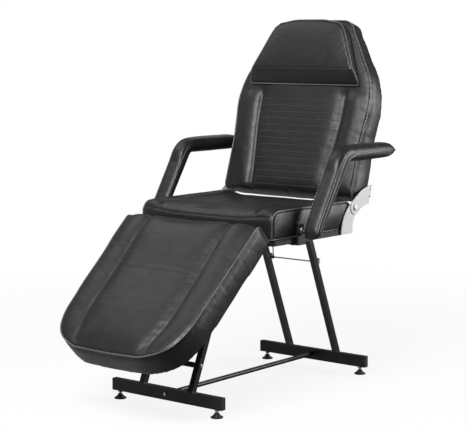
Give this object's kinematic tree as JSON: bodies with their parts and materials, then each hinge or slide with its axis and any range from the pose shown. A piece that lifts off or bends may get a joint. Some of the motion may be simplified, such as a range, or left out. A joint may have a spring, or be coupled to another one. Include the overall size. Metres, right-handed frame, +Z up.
{
  "type": "facial treatment bed",
  "caption": "Padded treatment bed on a steel trestle, with a reclining backrest, a lifting leg rest, armrests, a lift-off head pillow and levelling feet.",
  "frame": {"origin": "on the floor under the middle of the bed's box at rest", "axes": "+Z up, +Y towards the head end, +X towards the occupant's left; X = 0 is the plane of symmetry"},
  "size_m": [0.74, 1.1695, 1.2537],
  "materials": {
    "black_upholstery": "satin",
    "board": "matte",
    "black_steel": "satin",
    "silver_steel": "satin",
    "zinc": "satin",
    "black_plastic": "matte",
    "black_strip": "matte"
  },
  "bodies": {
    "base": {"front_floor_beam": "black_steel", "rear_floor_beam": "black_steel", "beam_end_caps": "black_plastic", "centre_brace": "black_steel", "brace_plugs": "zinc", "brace_bolts": "zinc", "foot_lock_nuts": "zinc", "front_left_leg": "black_steel", "front_right_leg": "black_steel", "rear_left_leg": "black_steel", "rear_right_leg": "black_steel", "front_leg_crossbar": "black_steel", "crossbar_bolts": "zinc", "tie_rod": "zinc", "tie_rod_clips": "zinc", "tie_rod_caps": "black_plastic", "wire_stay": "black_steel", "left_seat_rail": "black_steel", "right_seat_rail": "black_steel", "front_cross_member": "black_steel", "rear_cross_member": "black_steel", "rail_bolts": "zinc", "seat_board": "board", "seat_cushion": "black_upholstery", "left_arm_bracket": "black_steel", "right_arm_bracket": "black_steel", "arm_bracket_bolts": "zinc", "arm_spacers": "zinc", "arm_bolts": "zinc", "left_arm_pad": "black_upholstery", "right_arm_pad": "black_upholstery", "left_seat_hinge_leaf": "silver_steel", "right_seat_hinge_leaf": "silver_steel", "back_hinge_pins": "zinc", "left_leg_hinge_leaf": "black_steel", "right_leg_hinge_leaf": "black_steel", "leg_hinge_pins": "zinc"},
    "backrest": {"back_board": "board", "back_cushion": "black_upholstery", "left_back_hinge_leaf": "silver_steel", "right_back_hinge_leaf": "silver_steel", "back_hinge_screws": "zinc", "pillow_strips": "black_strip"},
    "leg_rest": {"leg_rest_board": "board", "leg_rest_cushion": "black_upholstery", "left_leg_hinge_arm": "black_steel", "right_leg_hinge_arm": "black_steel", "leg_hinge_screws": "zinc"},
    "pillow": {"head_pillow": "black_upholstery"},
    "front_left_foot": {"front_left_foot_pad": "black_plastic", "front_left_foot_stud": "zinc"},
    "front_right_foot": {"front_right_foot_pad": "black_plastic", "front_right_foot_stud": "zinc"},
    "rear_left_foot": {"rear_left_foot_pad": "black_plastic", "rear_left_foot_stud": "zinc"},
    "rear_right_foot": {"rear_right_foot_pad": "black_plastic", "rear_right_foot_stud": "zinc"}
  },
  "joints": [
    {"name": "backrest_recline", "type": "hinge", "parent": "base", "child": "backrest", "pos_m": [0, 0.35, 0.618], "axis": [-1, 0, 0], "range_deg": [0, 72.5]},
    {"name": "leg_rest_lift", "type": "hinge", "parent": "base", "child": "leg_rest", "pos_m": [0, -0.104, 0.54], "axis": [-1, 0, 0], "range_deg": [0, 42]},
    {"name": "pillow_lift_off", "type": "slide", "parent": "backrest", "child": "pillow", "axis": [0, -0.9537, 0.3007], "range_m": [0, 0.12]},
    {"name": "front_left_foot_screw", "type": "slide", "parent": "base", "child": "front_left_foot", "axis": [0, 0, 1], "range_m": [-0.015, 0.004]},
    {"name": "front_right_foot_screw", "type": "slide", "parent": "base", "child": "front_right_foot", "axis": [0, 0, 1], "range_m": [-0.015, 0.004]},
    {"name": "rear_left_foot_screw", "type": "slide", "parent": "base", "child": "rear_left_foot", "axis": [0, 0, 1], "range_m": [-0.015, 0.004]},
    {"name": "rear_right_foot_screw", "type": "slide", "parent": "base", "child": "rear_right_foot", "axis": [0, 0, 1], "range_m": [-0.015, 0.004]}
  ]
}
